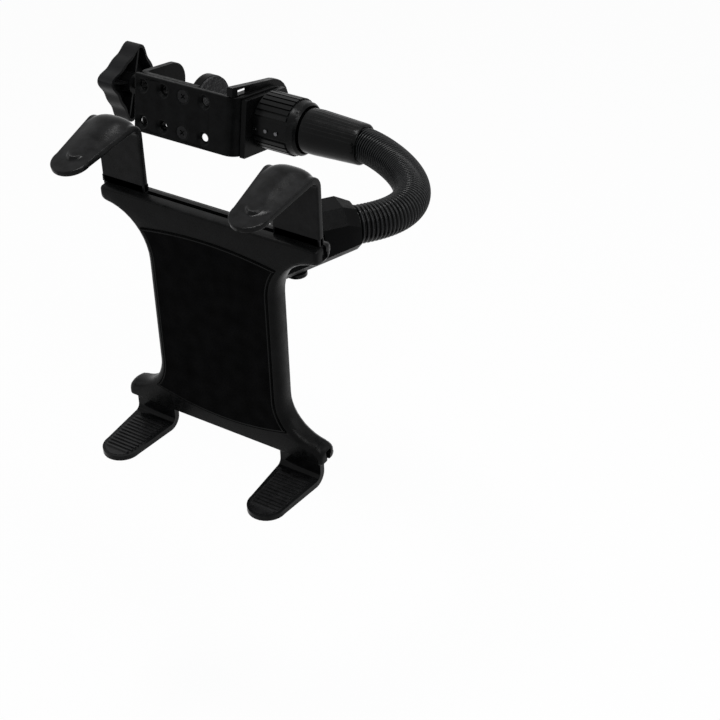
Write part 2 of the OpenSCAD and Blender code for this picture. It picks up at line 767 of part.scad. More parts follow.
// Ribbed collar that locks the sleeve
module collar() {
    r = collar_d / 2;
    color([0.06, 0.06, 0.065])
    on_clamp() difference() {
        union() {
            rotate([0, 90, 0]) rotate_extrude() polygon([
                [collar_bore_r, base_t + slide_gap],
                [r - 1, base_t + slide_gap],
                [r - 1, base_t + collar_l - 6],
                [r - 1.6, base_t + collar_l - 5],
                [r - 1.6, base_t + collar_l - 2],
                [r - 3, base_t + collar_l],
                [collar_bore_r, base_t + collar_l]
            ]);
            for (side = [0, 180], k = [0:collar_ribs - 1])
                rotate([side + rib_spread * (1 - 2 * k / (collar_ribs - 1)), 0, 0])
                    translate([base_t + 1.5, -collar_rib_w / 2, r - 2.5]) cube([collar_l - 9, collar_rib_w, 2.5]);
        }
        for (side = [-1, 1])
            translate([base_t + 1.5, side * (panel_r + 5) - 5, -panel_w / 2]) cube([collar_l - 9, 10, panel_w]);
        rotate([0, 90, 0]) cylinder(r = boss_r + run_gap, h = base_t + boss_l + slide_gap);
        for (side = [0, 180], k = [0:2])
            rotate([side + stud_turn, 0, 0]) translate([base_t + first_stud + stud_pitch * k, 0, 0])
                cylinder(d = stud_d + 2 * run_gap, h = r + 4);
    }
}

// Small studs set in the collar's two smooth panels
module collar_studs() {
    color([0.35, 0.35, 0.36])
    on_clamp() for (side = [0, 180], k = [0:2])
        rotate([side + stud_turn, 0, 0]) translate([base_t + first_stud + stud_pitch * k, 0, boss_r + slide_gap + run_gap])
            cylinder(d = stud_d, h = stud_h);
}

// Base plate of the swivel, with the boss that the collar turns on and the sleeve's hub
module swivel_base() {
    color([0.06, 0.06, 0.065])
    on_clamp() difference() {
        union() {
            translate([0, -base_front, -base_low]) cube([base_t, 2 * base_front - 6, base_low + 18]);
            rotate([0, 90, 0]) cylinder(r = boss_r, h = base_t + boss_l);
            rotate([0, 90, 0]) cylinder(r = hub_r, h = base_t + boss_l + hub_l);
            rotate([0, 90, 0]) cylinder(r = stub_r, h = base_t + boss_l + hub_l + stub_l);
        }
        translate([base_t + boss_l + hub_l + stub_l - 16, 0, 0]) rotate([0, 90, 0]) cylinder(d = 4 + 2 * run_gap, h = 20);
        base_screw_places() translate([0, 0, -1]) cylinder(d = 4, h = base_t);
    }
}

// Places of the four screws that hold the base plate
module base_screw_places() {
    for (y = [-17, 15], z = [-16, 12]) translate([0, y, z]) rotate([0, 90, 0]) children();
}

// Screws through the jaw and the flange into the base plate
module base_screws() {
    color([0.2, 0.2, 0.21])
    on_clamp() base_screw_places() difference() {
        union() {
            translate([0, 0, -metal_t - jaw_t + 0.1]) cylinder(d1 = 7.6, d2 = 4, h = 1.8);
            translate([0, 0, -metal_t - jaw_t + 0.1]) cylinder(d = 4, h = metal_t + jaw_t + base_t - 1.2);
        }
        translate([0, 0, -metal_t - jaw_t]) cylinder(d = 2.4, h = 1.6, $fn = 6);
    }
}

// Side view of a bracket's flange: square at the web, round at the back
module flange_side(front, back, r) {
    rotate([90, 0, 90]) translate([0, 0, -clamp_w - 10]) linear_extrude(clamp_w + 30)
        polygon(concat(
            [[front, web_low], [front, web_top]],
            turned(arc([back - r, web_top - r], r, 0, 90, 8)),
            turned(arc([back - r, web_low + r], r, -90, 0, 8))
        ));
}

// Plan of an angle bracket: web along X, flange along Y, with a rounded bend
function angle_plan(x_end, y_front, y_back, bend) =
    concat(
        [[x_end, y_front + metal_t], [x_end, y_front]],
        arc([-bend, y_front + bend], bend, -90, 0, 8),
        [[0, y_back], [-metal_t, y_back]],
        turned(arc([-bend, y_front + bend], bend - metal_t, -90, 0, 8))
    );

// Places of the web's holes: a row of four over a row of four
module web_places(columns) {
    for (c = columns, z = [-row_pitch / 2, row_pitch / 2])
        translate([-first_column - c * column_pitch, -web_front, z - axis_rise]) rotate([-90, 0, 0]) children();
}

// Outer bracket: drilled web and the flange that carries the swivel
module outer_bracket() {
    color([0.04, 0.04, 0.045])
    on_clamp() difference() {
        intersection() {
            translate([0, 0, web_low]) linear_extrude(clamp_h)
                polygon(angle_plan(-clamp_w, -web_front, outer_depth - web_front, bend_r));
            flange_side(-web_front - 1, outer_depth - web_front, outer_r);
        }
        web_places([0:3]) {
            translate([0, 0, -1]) cylinder(d = hole_d, h = metal_t + 2);
            translate([0, 0, -eps]) cylinder(d1 = head_d, d2 = hole_d, h = (head_d - hole_d) / 2);
        }
        base_screw_places() translate([0, 0, -metal_t - 1]) cylinder(d = 4 + 2 * run_gap, h = metal_t + 2);
    }
}

// Inner bracket: lies behind the web and carries the clamp screw on its own flange
module inner_bracket() {
    y0 = -web_front + metal_t;
    color([0.04, 0.04, 0.045])
    on_clamp() difference() {
        intersection() {
            translate([-clamp_w, 0, web_low]) mirror([1, 0, 0]) linear_extrude(clamp_h)
                polygon(angle_plan(-clamp_w + inner_plate_end, y0, inner_depth - web_front, 7));
            flange_side(y0 - 1, inner_depth - web_front, inner_r);
        }
        web_places([1:3]) cylinder(d = 5 + 2 * run_gap, h = 2 * metal_t + 1);
        translate([-clamp_w - 1, 0, 0]) rotate([0, 90, 0]) cylinder(d = bush_d, h = metal_t + 2);
    }
}

// Countersunk cross-recess screws that join the two brackets
module bracket_screws() {
    color([0.12, 0.12, 0.125])
    on_clamp() web_places([1]) translate([0, 0, 0.3]) difference() {
        union() {
            cylinder(d1 = head_d - 1.2, d2 = 5, h = (head_d - 6.2) / 2);
            cylinder(d = 5, h = 2 * metal_t + 4);
        }
        for (a = [45, 135]) rotate([0, 0, a]) translate([-2.2, -0.45, -1]) cube([4.4, 0.9, 2.6]);
    }
}

// Nuts behind the inner bracket
module bracket_nuts() {
    color([0.3, 0.3, 0.31])
    on_clamp() web_places([1]) translate([0, 0, 2 * metal_t]) difference() {
        cylinder(d = 9.2, h = 4, $fn = 6);
        translate([0, 0, -1]) cylinder(d = 5 + 2 * run_gap, h = 6);
    }
}

// Fixed jaw inside the outer flange, with a slot near its top corner
module fixed_jaw() {
    color([0.06, 0.06, 0.065])
    on_clamp() difference() {
        translate([-metal_t - jaw_t, 0, 0]) rotate([90, 0, 90]) linear_extrude(jaw_t)
            polygon(concat(
                [[-web_front + bend_r, -jaw_low], [-web_front + bend_r, web_top + 0.5], [-web_front, web_top + 0.5],
                 [-web_front, jaw_top], [0, jaw_r + 1]],
                turned(arc([jaw_back, 0], jaw_r, -60, 84, 12))
            ));
        translate([-metal_t - jaw_t - 1, -web_front + 6, web_top + 0.6]) cube([jaw_t + 2, jaw_slot_l, jaw_slot_h]);
        base_screw_places() translate([0, 0, -metal_t - jaw_t - eps]) {
            cylinder(d = 4 + 2 * run_gap, h = jaw_t + 1);
            cylinder(d1 = 8, d2 = 4, h = 2);
        }
    }
}

module jaw_facing() {
    color([0.16, 0.16, 0.16])
    on_clamp() translate([-metal_t - jaw_t - facing_t, 0, 0]) rotate([90, 0, 90]) linear_extrude(facing_t)
        polygon(concat([[-web_front + bend_r + 0.5, -jaw_low + 1.5], [-web_front + bend_r + 0.5, jaw_r - 6]],
            turned(arc([jaw_back, 0], jaw_r - 3, -60, 58, 10))));
}

// Threaded bush riveted into the inner bracket's flange
module thread_bush() {
    color([0.5, 0.5, 0.48])
    on_clamp() translate([-clamp_w, 0, 0]) rotate([0, 90, 0]) difference() {
        union() {
            cylinder(d = bush_d, h = metal_t);
            translate([0, 0, -bush_rim]) cylinder(d = bush_d + 3, h = bush_rim);
            translate([0, 0, metal_t]) cylinder(d = bush_d + 3, h = bush_rim);
        }
        translate([0, 0, -5]) cylinder(d = screw_d + 2 * slide_gap, h = metal_t + 10);
    }
}

module clamp_screw() {
    color([0.35, 0.35, 0.36])
    on_clamp() {
        translate([knob_front_x - knob_t + 4, 0, 0]) rotate([0, 90, 0])
            cylinder(d = screw_d, h = plate_back_x - knob_front_x + knob_t - 4 + 2);
        translate([plate_back_x + 1.4, 0, 0]) rotate([0, 90, 0]) cylinder(d = screw_d + 3, h = 2);
    }
}

// Outline of the knob: a round body that swells into ears, drawn in by a gap all round
module knob_plan(gap) {
    body_r = knob_d / 2 - ear_h;
    polygon([for (k = [0:knob_steps - 1])
        let (a = 360 * k / knob_steps, swell = pow((1 + cos(knob_ears * a)) / 2, ear_power))
        (body_r + ear_h * swell - gap) * [cos(a), sin(a)]]);
}

// Knob: closed at its outer face and hollow towards the bracket, with ribs from hub to rim
module knob() {
    hub_d = screw_d + 7;
    floor_t = 3;
    rib_t = 1.6;
    color([0.06, 0.06, 0.065])
    on_clamp() translate([knob_front_x - knob_t, 0, 0]) rotate([90, 0, 90]) rotate([0, 0, -ear_turn]) difference() {
        union() {
            difference() {
                linear_extrude(knob_t) knob_plan(0);
                translate([0, 0, floor_t]) linear_extrude(knob_t) knob_plan(knob_wall);
            }
            cylinder(d = hub_d, h = knob_t - 0.5);
            for (k = [0:knob_ears - 1]) rotate([0, 0, 360 * k / knob_ears])
                translate([hub_d / 2 - 1, -rib_t / 2, floor_t - 1])
                    cube([(knob_d - hub_d) / 2, rib_t, knob_t - floor_t - 1]);
        }
        translate([0, 0, floor_t + 1]) cylinder(d = screw_d, h = knob_t);
    }
}

// Round plate on the end of the screw
module pressure_plate() {
    color([0.08, 0.08, 0.08])
    on_clamp() translate([plate_back_x, 0, 0]) rotate([0, 90, 0]) difference() {
        cylinder(d = pad_d, h = plate_t);
        translate([0, 0, -1]) cylinder(d = screw_d + 2 * slide_gap, h = 2.4);
        translate([0, 0, 1.1]) cylinder(d = screw_d + 3 + 2 * slide_gap, h = 2.6);
    }
}

// Rubber face of the round plate
module pressure_facing() {
    color([0.2, 0.2, 0.2])
    on_clamp() translate([plate_back_x + plate_t, 0, 0]) rotate([0, 90, 0]) cylinder(d = pad_d - 1, h = facing_t);
}

front_frame();
rear_cover();
front_pad();
cover_screws();
pivot_washer();
pivot_screw();
hook_left();
hook_right();
foot_left();
foot_right();
foot_grip_left();
foot_grip_right();
rear_bracket();
socket();
pivot_bolt();
pivot_nut();
neck_cover();
neck_core();
arm_sleeve();
hub_screw();
collar();
collar_studs();
swivel_base();
base_screws();
outer_bracket();
inner_bracket();
bracket_screws();
bracket_nuts();
fixed_jaw();
jaw_facing();
thread_bush();
clamp_screw();
knob();
pressure_plate();
pressure_facing();
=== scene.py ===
"""Dresses the tablet holder: moulded, rubber and steel finishes, the corrugated neck,
crowned hooks, a pale stage with soft lights and the camera."""
import math
from bisect import bisect_right

import bmesh
import bpy
from bpy.props import FloatProperty, FloatVectorProperty, IntProperty, PointerProperty
from mathutils import Matrix, Vector


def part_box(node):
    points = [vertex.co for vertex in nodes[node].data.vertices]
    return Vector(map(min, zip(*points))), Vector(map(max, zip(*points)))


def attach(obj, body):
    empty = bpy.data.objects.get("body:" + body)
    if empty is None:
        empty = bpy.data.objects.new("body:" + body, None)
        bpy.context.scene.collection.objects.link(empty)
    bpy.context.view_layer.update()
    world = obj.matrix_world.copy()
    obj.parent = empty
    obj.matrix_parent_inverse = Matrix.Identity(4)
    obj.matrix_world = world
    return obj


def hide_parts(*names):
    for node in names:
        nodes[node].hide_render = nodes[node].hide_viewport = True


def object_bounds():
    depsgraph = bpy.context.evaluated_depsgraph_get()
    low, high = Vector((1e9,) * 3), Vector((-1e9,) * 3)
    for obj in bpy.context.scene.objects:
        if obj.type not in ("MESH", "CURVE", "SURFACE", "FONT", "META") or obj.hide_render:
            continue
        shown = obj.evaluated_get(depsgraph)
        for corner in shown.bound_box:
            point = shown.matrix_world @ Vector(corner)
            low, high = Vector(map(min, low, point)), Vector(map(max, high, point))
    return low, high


bl_info = {
    "name": "Tablet Holder",
    "version": (1, 0, 0),
    "blender": (4, 5, 0),
    "location": "View3D > Sidebar > Tablet Holder",
    "description": "Finishes, claws, neck and stage for a clamp-on tablet holder",
    "category": "Object",
}

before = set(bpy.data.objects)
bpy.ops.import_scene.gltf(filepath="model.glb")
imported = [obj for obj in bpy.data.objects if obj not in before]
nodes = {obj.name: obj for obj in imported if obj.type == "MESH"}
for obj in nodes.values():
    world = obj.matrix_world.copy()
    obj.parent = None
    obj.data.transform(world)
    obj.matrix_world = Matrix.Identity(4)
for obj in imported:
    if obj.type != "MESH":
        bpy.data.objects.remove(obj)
cad_box = [[float(c) for c in corner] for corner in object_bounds()]
MM = 0.001
# A point on the line along X that the sleeve, the collar and the clamp screw share
ARM_AXIS = Vector((0, 195, 28)) * MM


# Sizes and colours that can be changed

def colour(title, about, value):
    """Setting for a finish's base colour"""
    return FloatVectorProperty(
        name=title, description=about, default=value, subtype="COLOR", min=0.0, max=1.0)


def length(title, about, value):
    """Setting for a length in metres"""
    return FloatProperty(name=title, description=about, default=value, unit="LENGTH")


def power(title, about, value):
    """Setting for a lamp's power in watts"""
    return FloatProperty(name=title, description=about, default=value, unit="POWER")


class HolderFinishes(bpy.types.PropertyGroup):
    """Colours of the holder's materials, and how pale their edges are, worn and painted with a
    highlight
    """
    cradle: colour("Cradle", "Black of the moulded cradle", (0.0030, 0.0031, 0.0032))
    claw: colour("Claws", "Black of the hooks and feet", (0.0062, 0.0063, 0.0065))
    pad: colour("Pad", "Black of the soft front pad", (0.0022, 0.0022, 0.0023))
    grip: colour("Grips", "Black of the ribbed foot grips", (0.0085, 0.0085, 0.0088))
    facing: colour("Facings", "Grey of the rubber faces in the clamp", (0.020, 0.020, 0.0205))
    knuckle: colour("Knuckle", "Black of the knuckle, sleeve and collar", (0.0022, 0.0023, 0.0024))
    neck: colour("Neck", "Black of the corrugated neck", (0.0020, 0.0021, 0.0022))
    bracket: colour("Brackets", "Black of the coated brackets", (0.0024, 0.0025, 0.0026))
    knob: colour("Knob", "Black of the clamp's knob", (0.0060, 0.0061, 0.0064))
    dark_steel: colour("Dark steel", "Blackened screws and bolts", (0.009, 0.009, 0.0095))
    stud: colour("Studs", "Dull plating of the collar's studs", (0.10, 0.10, 0.105))
    bright_steel: colour("Bright steel", "Plated hub screw, nuts and bush", (0.42, 0.42, 0.43))
    # Edges are paler, partly from rubbing and partly as a painted highlight along them
    edge_wear_and_sheen: FloatProperty(
        name="Edge wear", description="How much paler the edges are rubbed",
        default=0.35, min=0.0, max=1.0, subtype="FACTOR")


class HolderNeck(bpy.types.PropertyGroup):
    """Sizes of the corrugated neck"""
    diameter: length("Diameter", "Over the neck's rings", 0.0236)
    inner: length("Inner diameter", "Of the corrugated cover", 0.016)
    groove: length("Groove depth", "Between two rings", 0.0014)
    pitch: length("Ring pitch", "From ring to ring", 0.0026)
    sides: IntProperty(name="Sides", description="Facets round the neck", default=56, min=16)


class HolderClaws(bpy.types.PropertyGroup):
    """Sizes of the hooks at the top of the cradle"""
    width: length("Width", "Across a hook", 0.0305)
    height: length("Height", "Above the rail", 0.041)
    reach: length("Reach", "From the plate to the tip", 0.052)
    thickness: length("Thickness", "Of the plate", 0.004)
    tip_radius: length("Tip radius", "Of the rounded tip", 0.0115)
    droop: FloatProperty(
        name="Droop", description="Of the tongue below level",
        default=math.radians(12.0), subtype="ANGLE")
    crown: length("Crown", "Height of the pillow over the bend", 0.0026)


class HolderStage(bpy.types.PropertyGroup):
    """Floor, lights and camera"""
    floor: length("Floor", "Side of the square floor", 40.0)
    drop: length("Floor drop", "Room under the holder for the arm's swing", 0.18)
    lens: FloatProperty(name="Lens", description="Focal length", default=77.07, unit="CAMERA")
    key: power("Key light", "Power of the compact top light", 6.5)
    fill: power("Top fill", "Power of the broad top light", 3.0)
    strip: power("Strip light", "Power of the narrow light", 6.0)
    side: power("Side lights", "Power of each of the two side lights", 3.2)
    world: FloatProperty(name="World", description="Strength of the room light", default=0.2)


class HolderSettings(bpy.types.PropertyGroup):
    """All settings of the tablet holder"""
    finishes: PointerProperty(type=HolderFinishes)
    neck: PointerProperty(type=HolderNeck)
    claws: PointerProperty(type=HolderClaws)
    stage: PointerProperty(type=HolderStage)


def settings():
    """The settings that the panel shows"""
    return bpy.context.scene.tablet_holder


# Materials

# Pointiness is 0.5 on flat ground: where an edge starts to be rubbed and is rubbed through, worn
# and with a painted highlight, and where a ring's side leaves painted groove shade for painted top
# light
RUBBED_AND_SHEEN = (0.53, 0.62)
PAINTED_RING_SHADING = (0.49, 0.58)


def add(tree, kind, **values):
    """Adds a shader node and sets its plain values"""
    made = tree.nodes.new(kind)
    for name, value in values.items():
        setattr(made, name, value)
    return made


def speckle(tree, where, scale, detail, roughness=0.55):
    """A cloudy pattern, most of it between 0.3 and 0.7"""
    made = add(tree, "ShaderNodeTexNoise")
    made.inputs["Scale"].default_value = scale
    made.inputs["Detail"].default_value = detail
    made.inputs["Roughness"].default_value = roughness
    tree.links.new(where, made.inputs["Vector"])
    return made.outputs["Fac"]


def spread(tree, source, low, high, start=0.3, stop=0.7):
    """Stretches a source's range from start to stop over low to high"""
    made = add(tree, "ShaderNodeMapRange")
    sockets = ("From Min", "From Max", "To Min", "To Max")
    for socket, value in zip(sockets, (start, stop, low, high)):
        made.inputs[socket].default_value = value
    tree.links.new(source, made.inputs["Value"])
    return made.outputs["Result"]


def mixed(tree, share, first, second):
    """Mixes two colours, each a plain colour or a node's output"""
    made = add(tree, "ShaderNodeMix", data_type="RGBA")
    for socket, value in zip((0, 6, 7), (share, first, second)):
        if isinstance(value, bpy.types.NodeSocket):
            tree.links.new(value, made.inputs[socket])
        else:
            made.inputs[socket].default_value = value
    return made.outputs[2]


def shaded(tint, factor, lift=0.0):
    """A tint made darker or paler, as an opaque colour"""
    return (*[min(1.0, c * factor + lift) for c in tint], 1.0)


def mottled(tree, place, tint, mottle, mottle_scale, fleck):
    """A tint with slow blotches, and pale flecks where the rubber has them"""
    blotches = spread(tree, speckle(tree, place, mottle_scale, detail=4.0), 0.0, 1.0)
    shade = mixed(tree, blotches, shaded(tint, 1 - mottle), shaded(tint, 1 + mottle))
    if fleck:
        dots = speckle(tree, place, scale=900.0, detail=2.0, roughness=0.7)
        spots = spread(tree, dots, 0.0, fleck, start=0.5, stop=0.68)
        shade = mixed(tree, spots, shade, shaded(tint, 4.0, lift=0.02))
    return shade


def bumped(tree, height, depth, strength, under=None):
    """The normal of a height pattern, laid over another normal where there is one"""
    bump = add(tree, "ShaderNodeBump")
    bump.inputs["Strength"].default_value = strength
    bump.inputs["Distance"].default_value = depth
    tree.links.new(height, bump.inputs["Height"])
    if under is not None:
        tree.links.new(under, bump.inputs["Normal"])
    return bump.outputs["Normal"]


def surface(name, tint, rough, specular, grain, grain_depth, metal=0.0, swell=None, mottle=0.25,
            mottle_scale=60.0, rough_swing=0.08, wear_and_sheen=0.5, stretch=(1, 1, 1), fleck=0.0, painted_crest_light=0.0):
    """A moulded, rubber or metal surface: fine grain, slow mottling, paler rubbed edges with a
    painted highlight, and uneven gloss.

    swell is the scale and depth of slow waves. With painted crest light, the colour goes from
    painted shade in the grooves to painted light on the ring tops, that many times paler than the
    tint, in place of mottling and the paler edges."""
    made = bpy.data.materials.get(name)
    if made:
        return made
    made = bpy.data.materials.new(name)
    made.use_nodes = True
    tree = made.node_tree
    shader = tree.nodes["Principled BSDF"]
    shader.inputs["Metallic"].default_value = metal
    shader.inputs["Specular IOR Level"].default_value = specular
    place = add(tree, "ShaderNodeTexCoord").outputs["Object"]

    edge = add(tree, "ShaderNodeNewGeometry").outputs["Pointiness"]
    # Rings: painted shade in the grooves, a tenth of the tint, and painted light on the ring tops
    if painted_crest_light:
        painted_ring_shading = spread(tree, edge, 0.0, 1.0, *PAINTED_RING_SHADING)
        shade = mixed(tree, painted_ring_shading, shaded(tint, 0.1), shaded(tint, painted_crest_light))
    else:
        # Paler edges: partly worn edges, partly a painted highlight along them
        rub_and_sheen = spread(tree, edge, 0.0, settings().finishes.edge_wear_and_sheen * wear_and_sheen, *RUBBED_AND_SHEEN)
        shade = mixed(tree, rub_and_sheen, mottled(tree, place, tint, mottle, mottle_scale, fleck),
                      shaded(tint, 2.2, lift=0.006))
    tree.links.new(shade, shader.inputs["Base Color"])

    smear = speckle(tree, place, scale=240.0, detail=5.0, roughness=0.6)
    gloss = spread(tree, smear, rough - rough_swing, rough + rough_swing)
    tree.links.new(gloss, shader.inputs["Roughness"])

    grown = add(tree, "ShaderNodeMapping")
    grown.inputs["Scale"].default_value = stretch
    tree.links.new(place, grown.inputs["Vector"])
    fine = speckle(tree, grown.outputs["Vector"], grain, detail=3.0)
    waves = None
    if swell:
        scale, depth = swell
        waves = bumped(tree, speckle(tree, place, scale, detail=2.0), depth, strength=0.5)
    normal = bumped(tree, fine, grain_depth, strength=0.55, under=waves)
    tree.links.new(normal, shader.inputs["Normal"])
    return made


def cradle_finish():
    return surface("satin cradle plastic", settings().finishes.cradle, rough=0.33, specular=0.06,
                   grain=1100.0, grain_depth=0.07 * MM, swell=(34.0, 0.6 * MM),
                   mottle=0.5, mottle_scale=130.0, rough_swing=0.13, wear_and_sheen=0.8)


def claw_finish():
    return surface("smooth claw plastic", settings().finishes.claw, rough=0.16, specular=0.07,
                   grain=1500.0, grain_depth=0.04 * MM, swell=(60.0, 0.2 * MM),
                   mottle=0.6, mottle_scale=170.0, rough_swing=0.04, wear_and_sheen=0.4)


def pad_finish():
    return surface("soft pad rubber", settings().finishes.pad, rough=0.80, specular=0.02,
                   grain=900.0, grain_depth=0.14 * MM,
                   mottle=0.85, mottle_scale=120.0, rough_swing=0.1, wear_and_sheen=0.2)


def grip_finish():
    return surface("ribbed grip rubber", settings().finishes.grip, rough=0.30, specular=0.13,
                   grain=1300.0, grain_depth=0.05 * MM, mottle=0.4, mottle_scale=140.0, wear_and_sheen=0.9)


def facing_finish():
    return surface("clamp facing rubber", settings().finishes.facing, rough=0.66, specular=0.07,
                   grain=700.0, grain_depth=0.2 * MM, mottle=0.35, mottle_scale=260.0, fleck=0.7)


def knuckle_finish():
    return surface("knuckle plastic", settings().finishes.knuckle, rough=0.32, specular=0.045,
                   grain=1500.0, grain_depth=0.05 * MM, swell=(40.0, 0.3 * MM),
                   mottle=0.5, mottle_scale=120.0, rough_swing=0.11)


def socket_finish():
    return surface("socket plastic", settings().finishes.knuckle, rough=0.40, specular=0.025,
                   grain=1300.0, grain_depth=0.06 * MM, swell=(40.0, 0.3 * MM), mottle=0.4)


def neck_finish():
    # The rings get painted shade in their grooves and painted light on their tops
    return surface("glossy neck plastic", settings().finishes.neck, rough=0.15, specular=0.11,
                   grain=1200.0, grain_depth=0.02 * MM, rough_swing=0.06, painted_crest_light=9.0)


def sleeve_finish():
    return surface("drawn sleeve plastic", settings().finishes.knuckle, rough=0.21, specular=0.085,
                   grain=420.0, grain_depth=0.16 * MM, stretch=(0.02, 1, 1), mottle=0.3)


def collar_finish():
    return surface("ribbed collar plastic", settings().finishes.knuckle, rough=0.29, specular=0.075,
                   grain=1500.0, grain_depth=0.03 * MM,
                   mottle=0.3, mottle_scale=140.0, rough_swing=0.02, wear_and_sheen=0.9)


def bracket_finish():
    return surface("coated bracket steel", settings().finishes.bracket, rough=0.38, specular=0.04,
                   grain=1100.0, grain_depth=0.07 * MM, swell=(200.0, 0.1 * MM),
                   mottle=0.6, mottle_scale=150.0, rough_swing=0.12, wear_and_sheen=0.8)


def knob_finish():
    return surface("knob plastic", settings().finishes.knob, rough=0.34, specular=0.07,
                   grain=1500.0, grain_depth=0.04 * MM, swell=(40.0, 0.3 * MM))


def dark_steel_finish():
    return surface("blackened steel", settings().finishes.dark_steel, rough=0.34, specular=0.1,
                   metal=0.6, grain=1600.0, grain_depth=0.02 * MM, mottle=0.35, wear_and_sheen=0.9)


def stud_finish():
    return surface("dull plated steel", settings().finishes.stud, rough=0.20, specular=0.5,
                   metal=1.0, grain=1600.0, grain_depth=0.02 * MM, mottle=0.2, wear_and_sheen=0.3)


def bright_steel_finish():
    return surface("plated steel", settings().finishes.bright_steel, rough=0.27, specular=0.5,
                   metal=1.0, grain=1600.0, grain_depth=0.02 * MM, mottle=0.2, wear_and_sheen=0.3)


# Shaping helpers

def smooth(value):
    """Eases from 0 to 1"""
    value = min(1.0, max(0.0, value))
    return value * value * (3 - 2 * value)


def split_corners(piece, corner):
    """Parts the shading at corners sharper than the angle in degrees"""
    split = piece.modifiers.new("sharp corners", "EDGE_SPLIT")
    split.split_angle = math.radians(corner)
    split.use_edge_sharp = False


def soften(piece, width=0.4 * MM, corner=35.0, segments=3):
    """Rounds a rigid piece's edges, unless width is 0, and shades its broad faces evenly"""
    for face in piece.data.polygons:
        face.use_smooth = True
    weld = piece.modifiers.new("weld", "WELD")
    weld.merge_threshold = 2e-6
    if width:
        bevel = piece.modifiers.new("rounded edges", "BEVEL")
        bevel.width = width
        bevel.segments = segments
        bevel.limit_method = "ANGLE"
        bevel.angle_limit = math.radians(corner)
        bevel.use_clamp_overlap = True
        bevel.miter_outer = "MITER_ARC"
    split_corners(piece, corner)
    even = piece.modifiers.new("even shading", "WEIGHTED_NORMAL")
    even.keep_sharp = True
    even.weight = 60


def dress(node, finish, width=0.4 * MM, corner=35.0, segments=3):
    """Gives a carried-over solid its finish and softened edges"""
    piece = nodes[node]
    if not piece.material_slots:
        piece.data.materials.append(finish)
    for holder in piece.material_slots:
        holder.material = finish
    soften(piece, width, corner, segments)


def placed(name, data):
    """Puts a new object into the scene"""
    made = bpy.data.objects.new(name, data)
    bpy.context.scene.collection.objects.link(made)
    return made


def data_from(name, mesh):
    """Turns a bmesh into mesh data"""
    data = bpy.data.meshes.new(name)
    mesh.normal_update()
    mesh.to_mesh(data)
    mesh.free()
    return data


def piece_from(name, mesh, finish, body):
    """Makes a named piece from a bmesh and lets it ride on its body"""
    data = data_from(name, mesh)
    data.materials.append(finish)
    made = placed(name, data)
    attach(made, body)
    return made


def grid_faces(mesh, rows, closed=False, flip=False):
    """Joins rows of vertices with quads"""
    for near, far in zip(rows, rows[1:]):
        count = len(near)
        for j in range(count if closed else count - 1):
            k = (j + 1) % count
            corners = [near[j], near[k], far[k], far[j]]
            mesh.faces.new(corners[::-1] if flip else corners)


def band_faces(mesh, rows):
    """Joins rings of vertices into a solid band with a cap at each end"""
    grid_faces(mesh, rows, closed=True)
    mesh.faces.new(rows[0])
    mesh.faces.new(rows[-1][::-1])


def add_block(mesh, low, high, place):
    """Adds a plain block between two corners to a bmesh"""
    for v in bmesh.ops.create_cube(mesh, size=1.0)["verts"]:
        v.co = place @ Vector([a + (c + 0.5) * (b - a) for a, b, c in zip(low, high, v.co)])


# Claws

BAR_DROP = 7.5 * MM  # underside of the bar that slides in the rail, below the rail's face
BAR_HALF = 2.3 * MM  # half of the bar's depth


